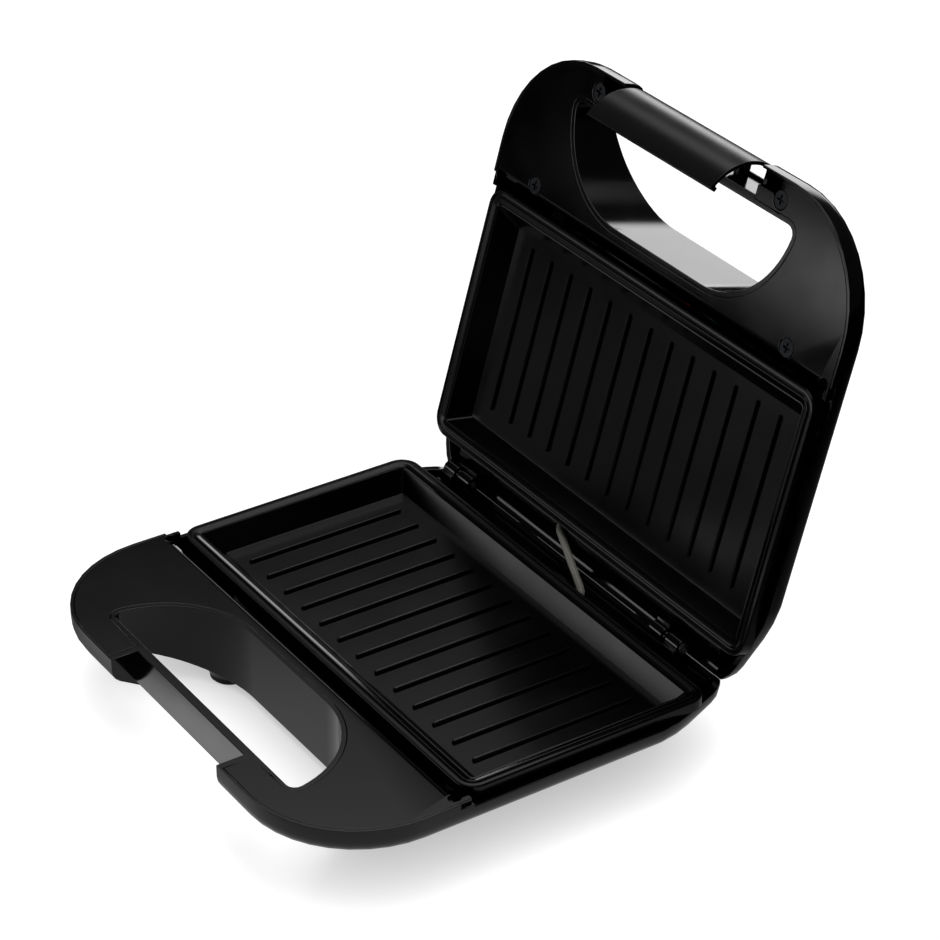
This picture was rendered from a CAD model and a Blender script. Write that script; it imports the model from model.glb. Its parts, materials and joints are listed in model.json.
"""Visual model of a sandwich toaster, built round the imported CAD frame.

The lower half is modelled in its own place. The lid is the lower half's mirror image across the
plane where the plates meet, turned open on the hinge, so one class builds each pair of pieces.
"""
import json
import logging
import math
from collections.abc import Callable
from dataclasses import dataclass, field
from enum import Enum

import bmesh
import bpy
from mathutils import Matrix, Vector


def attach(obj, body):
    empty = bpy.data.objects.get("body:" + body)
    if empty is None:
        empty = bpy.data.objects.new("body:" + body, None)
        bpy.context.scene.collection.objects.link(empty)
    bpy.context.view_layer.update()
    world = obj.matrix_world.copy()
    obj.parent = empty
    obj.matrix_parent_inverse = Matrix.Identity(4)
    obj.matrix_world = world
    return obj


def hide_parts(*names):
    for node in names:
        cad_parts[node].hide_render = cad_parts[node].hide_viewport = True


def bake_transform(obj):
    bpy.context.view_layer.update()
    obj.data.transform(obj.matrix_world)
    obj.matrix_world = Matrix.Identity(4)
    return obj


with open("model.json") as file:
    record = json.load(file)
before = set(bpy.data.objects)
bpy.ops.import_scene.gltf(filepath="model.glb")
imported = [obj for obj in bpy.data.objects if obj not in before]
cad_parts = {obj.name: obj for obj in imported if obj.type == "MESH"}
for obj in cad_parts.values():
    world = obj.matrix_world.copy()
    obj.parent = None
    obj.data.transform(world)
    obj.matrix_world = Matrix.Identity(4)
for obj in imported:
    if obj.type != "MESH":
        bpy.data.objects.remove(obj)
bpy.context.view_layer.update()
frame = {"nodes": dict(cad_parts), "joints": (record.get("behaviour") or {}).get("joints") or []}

MM = 0.001
# Corners of a CAD mesh's loose triangles that lie nearer together than this are one corner
MERGE_MM = 0.004
# Triangles that lie against each other at less than this angle are one flat face
FLAT_DEG = 0.4
# A point nearer to a plane than this, in metres, lies on it
TOUCH = 1e-6
# A noise texture keeps nearly all of its values between these
NOISE_LOW, NOISE_HIGH = 0.3, 0.7
# Ends of the first quarter turn and of the third one
FIRST_QUARTER, THIRD_QUARTER = 0.25, 0.75
WHITE = "#ffffff"
log = logging.getLogger("sandwich_toaster")


class Body(Enum):
    """The CAD body that a piece rides on."""

    BASE = "base"
    LID = "lid"
    LATCH = "latch"


class Slot(Enum):
    """The record's material slot that a piece takes its finish from."""

    SHELL = "shell"
    COVER = "cover"
    CLIP = "clip"
    PLATE = "plate"
    SLEEVE = "sleeve"


class Pick(Enum):
    """What is selected in edit mode; the value is the name of the select mode."""

    FACES = "FACE"
    POINTS = "VERT"


# Helpers for meshes


def deselect() -> None:
    """Leave edit mode and clear the selection."""
    if bpy.context.object and bpy.context.object.mode != "OBJECT":
        bpy.ops.object.mode_set(mode="OBJECT")
    bpy.ops.object.select_all(action="DESELECT")


def activate(obj: bpy.types.Object) -> None:
    """Make one object the only selected one, and the active one.

    Args:
        obj: The object.
    """
    deselect()
    obj.select_set(True)
    bpy.context.view_layer.objects.active = obj


def edit(obj: bpy.types.Object, pick: Pick) -> None:
    """Open an object in edit mode with nothing selected.

    Args:
        obj: The object.
        pick: What is to be selected in it.
    """
    activate(obj)
    bpy.ops.object.mode_set(mode="EDIT")
    bpy.ops.mesh.select_mode(type=pick.value)
    bpy.ops.mesh.select_all(action="DESELECT")


def select(obj: bpy.types.Object, pick: Pick, test: Callable[..., bool]) -> None:
    """Select the faces or the points that pass a test, in edit mode.

    Args:
        obj: The object in edit mode.
        pick: Whether faces or points are tested.
        test: A function of one face or point that says whether it is selected.
    """
    mesh = bmesh.from_edit_mesh(obj.data)
    for part in mesh.faces if pick is Pick.FACES else mesh.verts:
        part.select_set(test(part))
    mesh.select_flush_mode()
    bmesh.update_edit_mesh(obj.data)


def merge_all(obj: bpy.types.Object, nearer_mm: float) -> None:
    """Open an object in edit mode, select all of it and merge the points that lie together.

    Args:
        obj: The object.
        nearer_mm: Distance in millimetres under which two points are one.
    """
    edit(obj, Pick.POINTS)
    bpy.ops.mesh.select_all(action="SELECT")
    bpy.ops.mesh.remove_doubles(threshold=nearer_mm * MM)


def apply_modifier(obj: bpy.types.Object, kind: str, **settings: float | int | str | bool) -> None:
    """Add a modifier with its settings and apply it.

    Args:
        obj: The object.
        kind: The modifier's type name.
        **settings: The modifier's properties.
    """
    activate(obj)
    modifier = obj.modifiers.new(kind.title(), kind)
    for name, value in settings.items():
        setattr(modifier, name, value)
    bpy.ops.object.modifier_apply(modifier=modifier.name)


def smooth(obj: bpy.types.Object, crease_deg: float) -> None:
    """Shade an object smooth except across edges sharper than an angle in degrees."""
    activate(obj)
    bpy.ops.object.shade_smooth_by_angle(angle=math.radians(crease_deg))


def keep_faces_flat(obj: bpy.types.Object) -> None:
    """Weight the normals by area, so that a large flat face reflects as a flat one."""
    apply_modifier(obj, "WEIGHTED_NORMAL", weight=100, keep_sharp=True)


def join(objects: list[bpy.types.Object], name: str) -> bpy.types.Object:
    """Join objects into the first one and name it.

    Args:
        objects: The objects.
        name: The name of the whole.

    Returns:
        The first object, which now holds all of them.
    """
    deselect()
    for obj in objects:
        obj.select_set(True)
    bpy.context.view_layer.objects.active = objects[0]
    bpy.ops.object.join()
    objects[0].name = name
    objects[0].data.name = name
    return objects[0]


def copy_of_node(node: str, name: str) -> bpy.types.Object:
    """Copy a CAD node's mesh into a new object, with its loose triangles merged.

    Args:
        node: The CAD node's name.
        name: The new object's name.

    Returns:
        The new object.
    """
    mesh = frame["nodes"][node].data.copy()
    mesh.materials.clear()
    mesh.name = name
    obj = bpy.data.objects.new(name, mesh)
    bpy.context.scene.collection.objects.link(obj)
    merge_all(obj, MERGE_MM)
    bpy.ops.mesh.dissolve_limited(angle_limit=math.radians(FLAT_DEG))
    deselect()
    return obj


# Place of the lid

HINGE = next(j for j in frame["joints"] if j["name"] == "lid_hinge")
HINGE_AT = Vector(HINGE["pos_m"])
OPEN_ANGLE = math.radians(HINGE["range_deg"][1])
LID_PLACE = (
    Matrix.Translation(HINGE_AT)
    @ Matrix.Rotation(-OPEN_ANGLE, 4, "X")
    @ Matrix.Diagonal((1, 1, -1, 1))
    @ Matrix.Translation(-HINGE_AT)
)


def put_in_lid(obj: bpy.types.Object) -> None:
    """Carry a mesh from the lower half's place to the open lid, and turn its faces out again."""
    obj.data.transform(LID_PLACE)
    obj.data.flip_normals()


# Materials


def colour(code: str) -> tuple[float, float, float, float]:
    """Turn an sRGB hex code into a linear, opaque colour.

    Args:
        code: The colour as "#rrggbb".

    Returns:
        Red, green, blue and alpha.
    """
    parts = [int(code[i : i + 2], 16) / 255 for i in (1, 3, 5)]
    linear = [c / 12.92 if c <= 0.04045 else ((c + 0.055) / 1.055) ** 2.4 for c in parts]
    return (*linear, 1.0)


def add_node(tree: bpy.types.NodeTree, kind: str,
             values: dict[str | int, object] | None = None,
             links: dict[str | int, bpy.types.NodeSocket] | None = None,
             **settings: int | str) -> bpy.types.Node:
    """Add a shader node.

    Args:
        tree: The node tree.
        kind: The node's type name.
        values: Socket name or index to the value it keeps.
        links: Socket name or index to the output socket that feeds it.
        **settings: Properties of the node itself.

    Returns:
        The new node.
    """
    node = tree.nodes.new(kind)
    for name, value in settings.items():
        setattr(node, name, value)
    for socket, value in (values or {}).items():
        node.inputs[socket].default_value = value
    for socket, source in (links or {}).items():
        tree.links.new(source, node.inputs[socket])
    return node


def per_mm(size_mm: float) -> float:
    """Texture scale, per metre, of a pattern whose features are a size in millimetres."""
    return 1 / (size_mm * MM)


@dataclass(frozen=True)
class Finish:
    """A solid finish with a fine surface grain and a slow drift of its colour and gloss."""

    name: str
    dark: str
    light: str
    roughness: float
    drift: float = 0.04
    metallic: float = 0.0
    ior: float = 1.5
    sheen: float = 0.0
    grain_mm: float = 0.8
    grain_depth_mm: float = 0.01
    grain_detail: float = 2.0
    patch_mm: float = 30.0
    patch_detail: float = 3.0
    patch_roughness: float = 0.6

    def build(self) -> bpy.types.Material:
        """Make the material.

        Returns:
            The material, with all of its nodes.
        """
        material = bpy.data.materials.new(self.name)
        material.use_nodes = True
        tree = material.node_tree
        tree.nodes.clear()
        place = add_node(tree, "ShaderNodeTexCoord").outputs["Object"]
        shader = add_node(tree, "ShaderNodeBsdfPrincipled", {
            "Metallic": self.metallic, "IOR": self.ior, "Sheen Weight": self.sheen})
        self.dress(tree, shader, place)
        add_node(tree, "ShaderNodeOutputMaterial", links={"Surface": shader.outputs["BSDF"]})
        return material

    def dress(self, tree: bpy.types.NodeTree, shader: bpy.types.Node,
              place: bpy.types.NodeSocket) -> None:
        """Feed the shader its colour, roughness and bump.

        Args:
            tree: The material's node tree.
            shader: The Principled node.
            place: The socket with the object's own coordinates.
        """
        patches = add_node(
            tree, "ShaderNodeTexNoise",
            {"Scale": per_mm(self.patch_mm), "Detail": self.patch_detail,
             "Roughness": self.patch_roughness}, {"Vector": place}).outputs["Fac"]
        tint = add_node(tree, "ShaderNodeMix", {"A": colour(self.dark), "B": colour(self.light)},
                        {"Factor": patches}, data_type="RGBA")
        gloss = add_node(tree, "ShaderNodeMapRange", {
            "From Min": NOISE_LOW, "From Max": NOISE_HIGH,
            "To Min": self.roughness - self.drift, "To Max": self.roughness + self.drift},
            {"Value": patches})
        grain = add_node(tree, "ShaderNodeTexNoise",
                         {"Scale": per_mm(self.grain_mm), "Detail": self.grain_detail},
                         {"Vector": place})
        bump = add_node(tree, "ShaderNodeBump",
                        {"Strength": 1.0, "Distance": self.grain_depth_mm * MM},
                        {"Height": grain.outputs["Fac"]})
        tree.links.new(tint.outputs["Result"], shader.inputs["Base Color"])
        tree.links.new(gloss.outputs["Result"], shader.inputs["Roughness"])
        tree.links.new(bump.outputs["Normal"], shader.inputs["Normal"])


@dataclass(frozen=True)
class ClearFinish(Finish):
    """A tinted clear plastic or glass."""

    clearness: float = 0.7

    def dress(self, tree: bpy.types.NodeTree, shader: bpy.types.Node,
              place: bpy.types.NodeSocket) -> None:
        """Add light passing through to the plain finish."""
        super().dress(tree, shader, place)
        shader.inputs["Transmission Weight"].default_value = self.clearness


@dataclass(frozen=True)
class BraidFinish(Finish):
    """Yarn braided round a tube; its tint follows the sleeve's own UV map."""

    checks: int = 12
    lay_deg: float = 45.0

    def dress(self, tree: bpy.types.NodeTree, shader: bpy.types.Node,
              place: bpy.types.NodeSocket) -> None:
        """Tint crossing yarns over the plain finish.

        Args:
            tree: The material's node tree.
            shader: The Principled node.
            place: The socket with the object's own coordinates.
        """
        super().dress(tree, shader, place)
        sleeve = add_node(tree, "ShaderNodeUVMap", uv_map=LeadSleeve.uv_map).outputs["UV"]
        lay = add_node(tree, "ShaderNodeMapping",
                       {"Rotation": (0, 0, math.radians(self.lay_deg)),
                        "Scale": (self.checks, self.checks, 1)}, {"Vector": sleeve})
        checks = add_node(tree, "ShaderNodeTexChecker",
                          {"Scale": 1.0, "Color1": colour(self.dark), "Color2": colour(self.light)},
                          {"Vector": lay.outputs["Vector"]})
        tree.links.new(checks.outputs["Color"], shader.inputs["Base Color"])


class Finishes:
    """Every finish of the toaster, made once each."""

    # Gloss ABS, straight from a polished mould: deep black with sharp highlights on the edges
    shell = Finish("black_abs_gloss", "#040404", "#060607", 0.12, 0.03, grain_mm=1.4,
                   grain_depth_mm=0.003)
    # ABS from a lightly etched mould: the same black, its highlights broken by a finer grain
    cover = Finish("black_abs_satin", "#040404", "#060607", 0.11, 0.02, grain_mm=0.5,
                   grain_depth_mm=0.005)
    # ABS of the latch, from a duller mould: a greyer black with a broad highlight
    clip = Finish("black_abs_latch", "#1b1b1d", "#202022", 0.24, 0.03, grain_mm=1.0,
                  grain_depth_mm=0.003)
    # PTFE coating sprayed on die-cast aluminium: dark and satin, faintly pebbled
    plate = Finish("ptfe_coated_aluminium", "#030303", "#050505", 0.19, 0.03, ior=1.38,
                   grain_mm=0.9, grain_depth_mm=0.006, patch_mm=45.0)
    # Mild steel of screws, pins and clips, plated with bright zinc: pale metal, slightly cloudy
    steel = Finish("zinc_plated_steel", "#8f9193", "#b4b6b8", 0.30, 0.08, metallic=1.0,
                   grain_mm=0.6, patch_mm=6.0)
    # Steel of the lid's screws, blackened and oiled: dark metal with patches worn brighter
    dark_screw = Finish("blackened_steel", "#232426", "#3b3d40", 0.34, 0.08, metallic=1.0,
                        grain_mm=0.4, patch_mm=3.0)
    # Drawn nickel-steel sheath of the heaters: dull metal, browned by heat
    heater = Finish("heater_sheath", "#3e3a36", "#5a5550", 0.48, 0.10, metallic=1.0, patch_mm=12.0)
    # Rolled aluminium sheet: pale metal with a soft mirror
    reflector = Finish("rolled_aluminium", "#b2b4b5", "#c6c8c9", 0.28, 0.06, metallic=1.0,
                       grain_mm=2.0)
    # Fired steatite of the thermostat and the terminals: cream and matt
    ceramic = Finish("steatite", "#cfc8b6", "#ded8c8", 0.62, 0.05, grain_mm=0.3, patch_mm=5.0)
    # Drawn brass of the fuse's can: yellow metal, lightly tarnished
    fuse = Finish("brass", "#a98a42", "#c4a556", 0.30, 0.08, metallic=1.0, patch_mm=4.0)
    # Silicone extruded round the inner leads: matt black
    wire = Finish("silicone_insulation", "#101010", "#181818", 0.50, 0.05, patch_mm=8.0)
    # Moulded rubber of the feet and the bush: matt, with a coarse skin
    rubber = Finish("moulded_rubber", "#0e0e0e", "#161616", 0.72, 0.06, grain_mm=0.7,
                    grain_depth_mm=0.02)
    # Glass-fibre yarn braided into a sleeve: pale grey, with a faint fuzz
    sleeve = BraidFinish("glass_fibre_braid", "#9a978e", "#c2bfb6", 0.70, 0.05, grain_mm=0.3,
                         grain_depth_mm=0.02, sheen=0.2)
    # Polycarbonate lenses, tinted in the mass and moulded clear: dark while the lamps are off
    red_lens = ClearFinish("red_polycarbonate", "#3a0705", "#4a0b08", 0.12, 0.02, ior=1.58)
    green_lens = ClearFinish("green_polycarbonate", "#08300f", "#0c3d15", 0.12, 0.02, ior=1.58)
    # Blown glass of the neon lamps: clear and almost colourless
    lamp = ClearFinish("lamp_glass", "#dcd6c8", "#e8e2d4", 0.10, 0.02, ior=1.52)

    def __init__(self) -> None:
        """Start with no material made."""
        self._made: dict[str, bpy.types.Material] = {}

    def material(self, finish: Finish) -> bpy.types.Material:
        """Find a finish's material, and make it on first use.

        Args:
            finish: The finish.

        Returns:
            Its material.
        """
        if finish.name not in self._made:
            self._made[finish.name] = finish.build()
        return self._made[finish.name]

    def put_on(self, obj: bpy.types.Object, finish: Finish) -> None:
        """Give an object one finish all over."""
        obj.data.materials.clear()
        obj.data.materials.append(self.material(finish))


# Sub-assemblies


@dataclass
class GrillPlate:
    """One grill plate: skirt, beaded rim, sloping pocket and ribs. Sizes in millimetres."""

    body: Body
    half_w: float = 116.8
    y1: float = -66.9
    y2: float = 54.6
    rim_z: float = 40.2
    skirt: float = 5.0
    corner: float = 9.0
    corner_steps: int = 9
    thickness: float = 1.7
    # Rim section: distance in from the skirt, and height against the rim's top
    section: tuple[tuple[float, float], ...] = (
        (0.0, -0.75), (0.15, -0.35), (0.45, -0.15), (0.9, -0.2), (1.2, -0.6), (1.6, -0.62),
        (1.9, -0.4), (2.9, -0.45), (3.2, -0.6), (3.6, -0.15), (3.9, 0.0), (4.3, -0.05),
        (6.0, -0.62), (6.25, -0.95), (6.55, -0.72), (7.1, -0.7), (7.4, -1.0))
    floor_half_w: float = 102.6
    floor_y1: float = -51.1
    floor_y2: float = 42.6
    floor_z: float = 30.2
    # Fillet at the foot of the slopes: its size, and each step in and down as shares of it
    fillet: float = 0.3
    fillet_steps: tuple[tuple[float, float], ...] = ((0.6, -0.45), (0.6, -0.05))
    rib_count: int = 13
    rib_pitch: float = 15.0
    rib_y1: float = -46.3
    rib_y2: float = 33.7
    rib_r: float = 1.05
    rib_h: float = 1.55
    rib_sides: int = 20
    rib_rings: int = 12
    crease_deg: float = 40.0

    @property
    def name(self) -> str:
        """Name of the piece."""
        return "grill_plate_lower" if self.body is Body.BASE else "grill_plate_upper"

    @property
    def node(self) -> str:
        """Name of the CAD node that the piece stands for."""
        return "lower_plate" if self.body is Body.BASE else "upper_plate"

    def build(self, finishes: Finishes) -> bpy.types.Object:
        """Args:
            finishes: The finishes.

        Returns:
            The finished plate.
        """
        piece = join([self._pan(), *self._ribs()], self.name)
        if self.body is Body.LID:
            put_in_lid(piece)
        smooth(piece, self.crease_deg)
        keep_faces_flat(piece)
        finishes.put_on(piece, Finishes.plate)
        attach(piece, self.body.value)
        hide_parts(self.node)
        return piece

    def _pan(self) -> bpy.types.Object:
        """Model the pressed form from a rounded rectangle, step by step inward.

        Returns:
            The plate without its ribs.
        """
        bottom = (self.rim_z - self.skirt) * MM
        deselect()
        bpy.ops.mesh.primitive_plane_add(size=2, location=(0, 0, 0))
        pan = bpy.context.object
        edit(pan, Pick.POINTS)
        bpy.ops.mesh.select_all(action="SELECT")
        bpy.ops.transform.resize(value=(self.half_w * MM, (self.y2 - self.y1) / 2 * MM, 1))
        bpy.ops.transform.translate(value=(0, (self.y1 + self.y2) / 2 * MM, bottom))
        bpy.ops.mesh.bevel(offset=self.corner * MM, offset_type="OFFSET",
                           segments=self.corner_steps, affect="VERTICES")
        bpy.ops.mesh.select_mode(type=Pick.FACES.value)
        bpy.ops.mesh.select_all(action="SELECT")
        bpy.ops.mesh.extrude_region_move(
            TRANSFORM_OT_translate={"value": (0, 0, (self.skirt + self.section[0][1]) * MM)})
        before = self.section[0]
        for step in self.section[1:]:
            bpy.ops.mesh.inset(thickness=(step[0] - before[0]) * MM,
                               depth=(step[1] - before[1]) * MM, use_even_offset=True)
            before = step
        self._slope_to_floor(before)
        for out, down in self.fillet_steps:
            bpy.ops.mesh.inset(thickness=out * self.fillet * MM, depth=down * self.fillet * MM,
                               use_even_offset=True)
        select(pan, Pick.FACES, lambda f: all(abs(v.co.z - bottom) < TOUCH for v in f.verts))
        bpy.ops.mesh.delete(type="FACE")
        deselect()
        apply_modifier(pan, "SOLIDIFY", thickness=self.thickness * MM, offset=-1.0)
        return pan

    def _slope_to_floor(self, edge: tuple[float, float]) -> None:
        """Extrude the selected face down to the foot of the pocket's slopes.

        Args:
            edge: Last step of the rim section, where the slopes begin.
        """
        inward, height = edge
        grow = sum(out for out, _ in self.fillet_steps) * self.fillet
        foot = self.floor_z - sum(down for _, down in self.fillet_steps) * self.fillet
        from_w, to_w = self.half_w - inward, self.floor_half_w + grow
        from_y = (self.y1 + inward, self.y2 - inward)
        to_y = (self.floor_y1 - grow, self.floor_y2 + grow)
        from_mid, to_mid = sum(from_y) / 2, sum(to_y) / 2
        bpy.ops.mesh.extrude_region_move(TRANSFORM_OT_translate={
            "value": (0, (to_mid - from_mid) * MM, (foot - (self.rim_z + height)) * MM)})
        bpy.ops.transform.resize(
            value=(to_w / from_w, (to_y[1] - to_y[0]) / (from_y[1] - from_y[0]), 1),
            center_override=(0, to_mid * MM, 0))

    def _ribs(self) -> list[bpy.types.Object]:
        """Model one rib from a ball drawn out along its length, and copy it across.

        Returns:
            The ribs.
        """
        deselect()
        bpy.ops.mesh.primitive_uv_sphere_add(
            segments=self.rib_sides, ring_count=self.rib_rings, radius=self.rib_r * MM,
            location=(0, 0, 0), rotation=(math.pi / 2, 0, 0))
        rib = bpy.context.object
        bpy.ops.object.transform_apply(location=True, rotation=True, scale=True)
        edit(rib, Pick.POINTS)
        reach = ((self.rib_y2 - self.rib_y1) / 2 - self.rib_r) * MM
        select(rib, Pick.POINTS, lambda v: v.co.y > TOUCH)
        bpy.ops.transform.translate(value=(0, reach, 0))
        select(rib, Pick.POINTS, lambda v: v.co.y <= TOUCH)
        bpy.ops.transform.translate(value=(0, -reach, 0))
        bpy.ops.mesh.select_all(action="SELECT")
        bpy.ops.transform.resize(value=(1, 1, self.rib_h / self.rib_r))
        bpy.ops.transform.translate(
            value=(0, (self.rib_y1 + self.rib_y2) / 2 * MM, self.floor_z * MM))
        deselect()
        ribs = [rib]
        for _ in range(self.rib_count - 1):
            twin = rib.copy()
            twin.data = rib.data.copy()
            bpy.context.scene.collection.objects.link(twin)
            ribs.append(twin)
        for index, bar in enumerate(ribs):
            x = (index - (self.rib_count - 1) / 2) * self.rib_pitch * MM
            bar.data.transform(Matrix.Translation((x, 0, 0)))
        return ribs


@dataclass
class MouldedPart:
    """A moulding taken from its CAD node, with the small edge radii that a mould leaves."""

    node: str
    name: str
    body: Body
    slot: Slot
    finish: Finish
    edge_mm: float = 0.3
    edge_steps: int = 2
    crease_deg: float = 32.0
    # Length of a neighbouring edge, in radii, under which an edge stays sharp
    room: float = 2.4
    # Cosine above which a neighbour only carries the edge on, and may be short
    in_line: float = 0.85

    def build(self, finishes: Finishes) -> bpy.types.Object:
        """Args:
            finishes: The finishes.

        Returns:
            The finished moulding.
        """
        piece = copy_of_node(self.node, self.name)
        self._mark_edges(piece.data)
        apply_modifier(piece, "BEVEL", width=self.edge_mm * MM, segments=self.edge_steps,
                       limit_method="WEIGHT", use_clamp_overlap=False)
        smooth(piece, self.crease_deg)
        keep_faces_flat(piece)
        finishes.put_on(piece, self.finish)
        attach(piece, self.body.value)
        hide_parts(self.node)
        return piece

    def _mark_edges(self, data: bpy.types.Mesh) -> None:
        """Give a bevel weight to each sharp outer edge whose neighbours leave it room.

        Args:
            data: The moulding's mesh.
        """
        mesh = bmesh.new()
        mesh.from_mesh(data)
        weight = mesh.edges.layers.float.new("bevel_weight_edge")
        for edge in mesh.edges:
            if (len(edge.link_faces) == 2 and edge.is_convex
                    and edge.calc_face_angle() >= math.radians(self.crease_deg)):
                edge[weight] = 1.0 if self._has_room(edge) else 0.0
        mesh.to_mesh(data)
        mesh.free()

    def _has_room(self, edge: bmesh.types.BMEdge) -> bool:
        """Say whether the edges that meet an edge are long enough for its radius.

        Args:
            edge: The edge.

        Returns:
            Whether no neighbour is too short, apart from those that carry the edge on.
        """
        along = (edge.verts[1].co - edge.verts[0].co).normalized()
        for other in (o for vert in edge.verts for o in vert.link_edges if o is not edge):
            way = (other.verts[1].co - other.verts[0].co).normalized()
            if (other.calc_length() < self.room * self.edge_mm * MM
                    and abs(along.dot(way)) < self.in_line):
                return False
        return True


@dataclass
class LeadSleeve:
    """Braided sleeve that carries the upper heater's leads across the hinge. Millimetres.

    It leaves the lower half straight, bends round to cross the hinge axis, and bends back into the
    lid. All of it lies in one plane through the axis, and its two ends are alike about the middle.
    """

    name: str = "lead_sleeve_braided"
    uv_map: str = "Braid"
    radius: float = 1.8
    resolution: int = 6
    tail_x: float = 18.75
    reach: float = 15.5
    bend: float = 4.0
    bend_angle: float = 66.0
    tilt: float = 36.9
    # Steps along the straight tail, round the bend and on to the middle of the route
    tail_steps: int = 8
    bend_steps: int = 8
    cross_steps: int = 12
    # Distance between the tube's rings, and distance under which two points are merged
    step: float = 0.5
    merge: float = 0.001
    yarns: int = 16
    yarn_pitch: float = 5.0
    yarn_depth: float = 0.16
    crease_deg: float = 60.0

    def build(self, finishes: Finishes) -> bpy.types.Object:
        """Args:
            finishes: The finishes.

        Returns:
            The finished sleeve.
        """
        points = self._evenly(self._route())
        piece = self._tube(points)
        self._braid(piece.data, points)
        smooth(piece, self.crease_deg)
        finishes.put_on(piece, Finishes.sleeve)
        # The lid's turn is spread over the middle third of the sleeve
        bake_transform(piece)
        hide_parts("lead_sleeve")
        return piece

    def _route(self) -> list[Vector]:
        """Lay out the line that the sleeve's middle follows.

        Returns:
            Points in metres, from the lower half to the lid.
        """
        turn = math.radians(self.bend_angle)
        rise = ((self.tail_x - self.bend * (1 - math.cos(turn))) / math.tan(turn)
                + self.bend * math.sin(turn))
        half = [(self.tail_x, -self.reach + (self.reach - rise) * i / self.tail_steps)
                for i in range(self.tail_steps)]
        half += [(self.tail_x - self.bend + self.bend * math.cos(turn * i / self.bend_steps),
                  -rise + self.bend * math.sin(turn * i / self.bend_steps))
                 for i in range(self.bend_steps + 1)]
        knee_x, knee_y = half[-1]
        left = [1 - i / self.cross_steps for i in range(1, self.cross_steps)]
        half += [(knee_x * share, knee_y * share) for share in left]
        whole = half + [(0.0, 0.0)] + [(-x, -y) for x, y in reversed(half)]
        lean = math.radians(self.tilt)
        return [HINGE_AT + Vector((x, y * math.cos(lean), y * math.sin(lean))) * MM
                for x, y in whole]

    def _evenly(self, route: list[Vector]) -> list[Vector]:
        """Put points at even steps along a route.

        Args:
            route: The route's corners.

        Returns:
            The points, with every corner among them.
        """
        out = [route[0]]
        for here, there in zip(route, route[1:]):
            count = max(1, round((there - here).length / (self.step * MM)))
            out += [here.lerp(there, i / count) for i in range(1, count + 1)]
        return out

    def _tube(self, points: list[Vector]) -> bpy.types.Object:
        """Draw a smooth closed tube along a row of points.

        Args:
            points: The points of its middle line.

        Returns:
            The tube, as a mesh.
        """
        data = bpy.data.curves.new(self.name, "CURVE")
        data.dimensions = "3D"
        data.bevel_depth = self.radius * MM
        data.bevel_resolution = self.resolution
        data.use_fill_caps = True
        line = data.splines.new("POLY")
        line.points.add(len(points) - 1)
        for point, place in zip(line.points, points):
            point.co = (*place, 1.0)
        tube = bpy.data.objects.new(self.name, data)
        bpy.context.scene.collection.objects.link(tube)
        activate(tube)
        bpy.ops.object.convert(target="MESH")
        tube = bpy.context.object
        merge_all(tube, self.merge)
        bpy.ops.mesh.normals_make_consistent(inside=False)
        deselect()
        return tube

    def _braid(self, mesh: bpy.types.Mesh, points: list[Vector]) -> None:
        """Press crossing yarns into the tube and lay its UV map along and around it.

        Args:
            mesh: The tube's mesh.
            points: The points of its middle line.
        """
        lean = math.radians(self.tilt)
        off_plane = Vector((0, -math.sin(lean), math.cos(lean)))
        lengths = [0.0]
        for here, there in zip(points, points[1:]):
            lengths.append(lengths[-1] + (there - here).length)
        places, outward = {}, {}
        for vert in mesh.vertices:
            near = min(range(len(points)), key=lambda i: (points[i] - vert.co).length_squared)
            ahead = (points[min(near + 1, len(points) - 1)] - points[max(near - 1, 0)]).normalized()
            side = ahead.cross(off_plane)
            up = side.cross(ahead)
            out = vert.co - points[near]
            places[vert.index] = (math.atan2(out.dot(up), out.dot(side)) / math.tau % 1.0,
                                  lengths[near] / (self.yarn_pitch * MM))
            outward[vert.index] = out
        self._lay_uv(mesh, places)
        for vert in mesh.vertices:
            around, along = places[vert.index]
            # Two sets of yarns wind opposite ways, and the sleeve dips between them
            weave = (math.sin(math.tau * (self.yarns / 2 * around + along))
                     * math.sin(math.tau * (self.yarns / 2 * around - along)))
            out = outward[vert.index]
            if out.length > 0:
                vert.co += out.normalized() * (weave - 1) * self.yarn_depth / 2 * MM

    def _lay_uv(self, mesh: bpy.types.Mesh, places: dict[int, tuple[float, float]]) -> None:
        """Write the sleeve's UV map, and carry the faces on the seam past one full turn.

        Args:
            mesh: The tube's mesh.
            places: Each vertex's turns round the tube, and its way along in yarn pitches.
        """
        for layer in list(mesh.uv_layers):
            mesh.uv_layers.remove(layer)
        layer = mesh.uv_layers.new(name=self.uv_map)
        for face in mesh.polygons:
            corners = [mesh.loops[i].vertex_index for i in face.loop_indices]
            near_end = max(places[c][0] for c in corners) > THIRD_QUARTER
            for loop, corner in zip(face.loop_indices, corners):
                around, along = places[corner]
                past_seam = near_end and around < FIRST_QUARTER
                layer.data[loop].uv = (around + (1.0 if past_seam else 0.0), along)


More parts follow.
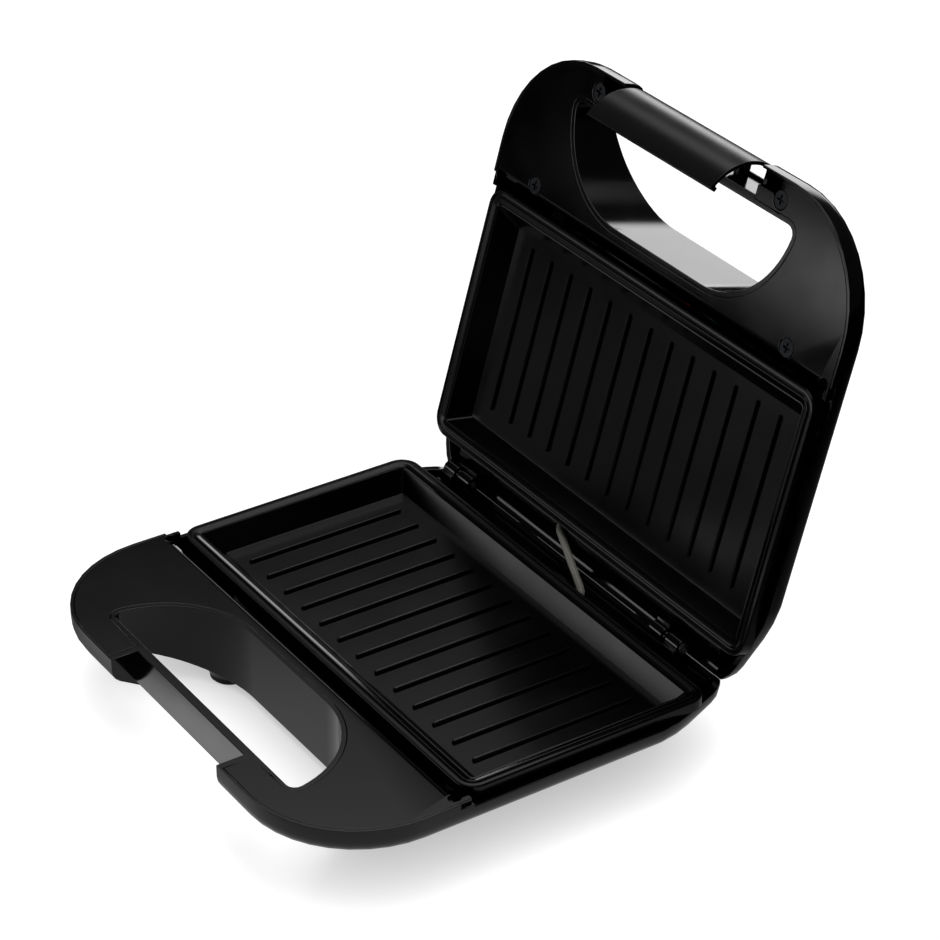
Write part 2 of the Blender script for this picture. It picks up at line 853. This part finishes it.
@dataclass
class CadParts:
    """CAD nodes whose shape stays as it is, each with its own finish."""

    finishes_of: dict[str, Finish] = field(default_factory=lambda: {
        "lower_heater": Finishes.heater, "upper_heater": Finishes.heater,
        "lower_heater_clips": Finishes.steel, "upper_heater_clips": Finishes.steel,
        "lower_reflector": Finishes.reflector, "upper_reflector": Finishes.reflector,
        "lower_plate_screws": Finishes.steel, "upper_plate_screws": Finishes.steel,
        "thermostat": Finishes.ceramic, "thermal_fuse": Finishes.fuse,
        "terminal_block": Finishes.ceramic, "lower_wiring": Finishes.wire,
        "upper_wiring": Finishes.wire, "inlet_bush": Finishes.rubber,
        "base_screws": Finishes.steel, "feet": Finishes.rubber, "hinge_pins": Finishes.steel,
        "lid_screws": Finishes.dark_screw, "power_lens": Finishes.red_lens,
        "ready_lens": Finishes.green_lens, "neon_lamps": Finishes.lamp,
        "latch_rod": Finishes.steel})

    def build(self, finishes: Finishes) -> None:
        """Put the finishes on the nodes.

        Args:
            finishes: The finishes.
        """
        for node, finish in self.finishes_of.items():
            obj = frame["nodes"][node]
            if not obj.material_slots:
                obj.data.materials.append(None)
            for slot in obj.material_slots:
                slot.material = finishes.material(finish)
            log.info("%s keeps its CAD shape, in %s", node, finish.name)


def mouldings() -> list[MouldedPart]:
    """List the mouldings that are taken from their CAD nodes.

    Returns:
        The mouldings, not yet built.
    """
    return [
        MouldedPart("base_shell", "casing_lower", Body.BASE, Slot.SHELL, Finishes.shell),
        MouldedPart("lid_shell", "casing_upper", Body.LID, Slot.SHELL, Finishes.shell),
        MouldedPart("base_cover", "handle_cover_lower", Body.BASE, Slot.COVER, Finishes.cover),
        MouldedPart("lid_cover", "handle_cover_upper", Body.LID, Slot.COVER, Finishes.cover),
        MouldedPart("latch_clip", "latch_clip_moulded", Body.LATCH, Slot.CLIP, Finishes.clip),
    ]


# Studio


@dataclass(frozen=True)
class SoftBox:
    """A bright window in the room round the object, as directions in degrees."""

    name: str
    azimuth: tuple[float, float]
    height: tuple[float, float]
    azimuth_edge: float
    height_edge: float
    strength: float

    def window(self, tree: bpy.types.NodeTree, azimuth: bpy.types.NodeSocket,
               height: bpy.types.NodeSocket) -> bpy.types.NodeSocket:
        """Add nodes that give the box's strength inside it and fade to nothing at its edges.

        Args:
            tree: The world's node tree.
            azimuth: Direction round the object in radians, less half a turn.
            height: Direction above the horizon in radians.

        Returns:
            The socket with the box's glow.
        """
        rising, falling = (0.0, 1.0), (1.0, 0.0)
        sides = (
            (azimuth, self.azimuth[0] - 180, self.azimuth_edge, rising),
            (azimuth, self.azimuth[1] - 180, self.azimuth_edge, falling),
            (height, self.height[0], self.height_edge, rising),
            (height, self.height[1], self.height_edge, falling),
        )
        glow = None
        for way, at, edge, (low, high) in sides:
            fade = add_node(tree, "ShaderNodeMapRange", {
                "From Min": math.radians(at - edge), "From Max": math.radians(at + edge),
                "To Min": low, "To Max": high},
                {"Value": way}, interpolation_type="SMOOTHSTEP").outputs["Result"]
            glow = add_node(tree, "ShaderNodeMath", {1: self.strength} if glow is None else {},
                            {0: fade} if glow is None else {0: fade, 1: glow},
                            operation="MULTIPLY", label=self.name).outputs["Value"]
        return glow


@dataclass(frozen=True)
class LightPool:
    """A round pool of light on the floor, in metres, that fades between two radii."""

    centre: tuple[float, float]
    inner: float
    outer: float
    strength: float


@dataclass
class Studio:
    """Floor, backdrop, soft lights and camera. Metres and degrees."""

    azimuth: float = 56.403
    elevation: float = 30.90
    roll: float = 0.156
    distance: float = 1.49766
    target: tuple[float, float, float] = (-0.100749, 0.078896, 0.032)
    # Focal length and frame width in the photograph's pixels, and the sensor's width in mm
    focal_px: float = 3202.3
    frame_px: float = 940.0
    sensor_mm: float = 36.0
    sight_end: float = 50.0
    floor_half: float = 6.0
    floor_paint: str = "#a8a8a8"
    floor_roughness: float = 0.3
    # The floor shows white in the open, and greyer within the shadow's reach of the object
    floor_lift: float = 0.94
    contact_shade: float = 0.4
    shadow_reach: float = 0.025
    shadow_samples: int = 12
    # The floor as the gloss sees it: beside the object, before it, round it, and far off
    pools: tuple[LightPool, ...] = (
        LightPool((0.1, -0.06), 0.08, 0.26, 0.35), LightPool((-0.1, -0.31), 0.05, 0.18, 2.4),
        LightPool((-0.3, -0.25), 0.4, 0.9, 0.12), LightPool((-1.2, -2.2), 0.55, 1.02, 1.8))
    # Glow of the room between the boxes
    room: float = 0.03
    # One box straight over the object, one high and one low behind it on the left, and one low
    # at the front left, which the rear wall of the lower plate mirrors
    boxes: tuple[SoftBox, ...] = (
        SoftBox("zenith", (0, 360), (66, 95), 0.5, 8, 1.2),
        SoftBox("overhead_left", (80, 165), (38.5, 66), 10, 8, 1.3),
        SoftBox("back_left", (119, 156), (-3, 15), 6, 4, 2.3),
        SoftBox("front_left", (222.5, 262), (0.5, 14), 1.5, 2, 2.0),
    )

    def build(self) -> None:
        """Set up the whole studio."""
        self._camera()
        self._floor()
        self._world()
        bpy.context.scene.view_settings.view_transform = "Standard"

    def _camera(self) -> None:
        """Place the camera where the photograph was taken from."""
        a, e, r = (math.radians(v) for v in (self.azimuth, self.elevation, self.roll))
        back = Vector((math.sin(a) * math.cos(e), -math.cos(a) * math.cos(e), math.sin(e)))
        right = Vector((math.cos(a), math.sin(a), 0))
        up = back.cross(right)
        turned = right * math.cos(r) + up * math.sin(r)
        upright = up * math.cos(r) - right * math.sin(r)
        data = bpy.data.cameras.new("camera")
        data.sensor_width = self.sensor_mm
        data.lens = self.focal_px / self.frame_px * self.sensor_mm
        data.clip_end = self.sight_end
        camera = bpy.data.objects.new("camera", data)
        bpy.context.scene.collection.objects.link(camera)
        place = Vector(self.target) + back * self.distance
        camera.matrix_world = Matrix((
            (turned.x, upright.x, back.x, place.x), (turned.y, upright.y, back.y, place.y),
            (turned.z, upright.z, back.z, place.z), (0, 0, 0, 1)))
        bpy.context.scene.camera = camera

    def _floor(self) -> None:
        """Lay the floor."""
        deselect()
        bpy.ops.mesh.primitive_plane_add(size=2 * self.floor_half, location=(0, 0, 0))
        floor = bpy.context.object
        floor.name = "floor"
        floor.data.materials.append(self._floor_material())

    def _floor_material(self) -> bpy.types.Material:
        """Make matt pale paint that shows white and keeps the shadow, and that gloss sees dim.

        Returns:
            The material.
        """
        material = bpy.data.materials.new("pale_floor")
        material.use_nodes = True
        tree = material.node_tree
        tree.nodes.clear()
        rays = add_node(tree, "ShaderNodeLightPath").outputs
        paint = add_node(tree, "ShaderNodeBsdfPrincipled", {
            "Base Color": colour(self.floor_paint), "Roughness": self.floor_roughness})
        direct = add_node(tree, "ShaderNodeMath", links={
            0: rays["Is Camera Ray"], 1: rays["Is Transmission Ray"]}, operation="MAXIMUM")
        openness = add_node(tree, "ShaderNodeAmbientOcclusion", {"Distance": self.shadow_reach},
                            samples=self.shadow_samples)
        shade = add_node(tree, "ShaderNodeMapRange",
                         {"To Min": self.contact_shade, "To Max": self.floor_lift},
                         {"Value": openness.outputs["AO"]})
        lift = add_node(tree, "ShaderNodeMath", links={
            0: direct.outputs["Value"], 1: shade.outputs["Result"]}, operation="MULTIPLY")
        shown = add_node(tree, "ShaderNodeEmission", {"Color": colour(WHITE)},
                         {"Strength": lift.outputs["Value"]})
        pale = add_node(tree, "ShaderNodeAddShader",
                        links={0: paint.outputs["BSDF"], 1: shown.outputs["Emission"]})
        gloss = add_node(tree, "ShaderNodeEmission", {"Color": colour(WHITE)},
                         {"Strength": self._floor_glow(tree)})
        mix = add_node(tree, "ShaderNodeMixShader", links={
            0: rays["Is Glossy Ray"], 1: pale.outputs["Shader"], 2: gloss.outputs["Emission"]})
        add_node(tree, "ShaderNodeOutputMaterial", links={"Surface": mix.outputs["Shader"]})
        return material

    def _floor_glow(self, tree: bpy.types.NodeTree) -> bpy.types.NodeSocket:
        """Say how bright the floor looks in the object's gloss.

        Args:
            tree: The floor's node tree.

        Returns:
            The socket with the brightness, which is the sum of the pools of light.
        """
        place = add_node(tree, "ShaderNodeTexCoord").outputs["Object"]
        glow = None
        for pool in self.pools:
            reach = add_node(tree, "ShaderNodeVectorMath", {1: (*pool.centre, 0.0)}, {0: place},
                             operation="DISTANCE").outputs["Value"]
            fade = add_node(tree, "ShaderNodeMapRange", {
                "From Min": pool.inner, "From Max": pool.outer, "To Min": pool.strength,
                "To Max": 0.0}, {"Value": reach}, interpolation_type="SMOOTHSTEP").outputs["Result"]
            glow = fade if glow is None else add_node(
                tree, "ShaderNodeMath", links={0: glow, 1: fade}, operation="ADD").outputs["Value"]
        return glow

    def _world(self) -> None:
        """Show a white backdrop, and light the object from soft boxes in a dim room."""
        world = bpy.data.worlds.new("studio")
        bpy.context.scene.world = world
        world.use_nodes = True
        tree = world.node_tree
        tree.nodes.clear()
        azimuth, height = self._directions(tree)
        total = None
        for box in self.boxes:
            glow = box.window(tree, azimuth, height)
            total = glow if total is None else add_node(
                tree, "ShaderNodeMath", links={0: total, 1: glow}, operation="ADD").outputs["Value"]
        room = add_node(tree, "ShaderNodeMath", {1: self.room}, {0: total}, operation="ADD")
        rays = add_node(tree, "ShaderNodeLightPath").outputs
        direct = add_node(tree, "ShaderNodeMath", links={
            0: rays["Is Camera Ray"], 1: rays["Is Transmission Ray"]}, operation="MAXIMUM")
        strength = add_node(tree, "ShaderNodeMix", {"B": 1.0}, {
            "Factor": direct.outputs["Value"], "A": room.outputs["Value"]}, data_type="FLOAT")
        sky = add_node(tree, "ShaderNodeBackground", {"Color": colour(WHITE)},
                       {"Strength": strength.outputs["Result"]})
        add_node(tree, "ShaderNodeOutputWorld", links={"Surface": sky.outputs["Background"]})

    def _directions(self, tree: bpy.types.NodeTree
                    ) -> tuple[bpy.types.NodeSocket, bpy.types.NodeSocket]:
        """Turn a ray's direction into angles.

        Args:
            tree: The world's node tree.

        Returns:
            The sockets with the azimuth, less half a turn, and the height, in radians.
        """
        way = add_node(tree, "ShaderNodeTexCoord").outputs["Generated"]
        parts = add_node(tree, "ShaderNodeSeparateXYZ", links={"Vector": way}).outputs
        back = {axis: add_node(tree, "ShaderNodeMath", {1: -1.0}, {0: parts[axis]},
                               operation="MULTIPLY").outputs["Value"] for axis in ("X", "Y")}
        azimuth = add_node(tree, "ShaderNodeMath", links={0: back["Y"], 1: back["X"]},
                           operation="ARCTAN2")
        height = add_node(tree, "ShaderNodeMath", links={0: parts["Z"]}, operation="ARCSINE")
        return azimuth.outputs["Value"], height.outputs["Value"]


def main() -> None:
    """Build the studio and every piece."""
    logging.basicConfig(level=logging.INFO, format="%(name)s: %(message)s")
    Studio().build()
    finishes = Finishes()
    CadParts().build(finishes)
    for part in [*mouldings(), GrillPlate(Body.BASE), GrillPlate(Body.LID), LeadSleeve()]:
        piece = part.build(finishes)
        log.info("%s has %d faces", piece.name, len(piece.data.polygons))


if __name__ == "__main__":
    main()
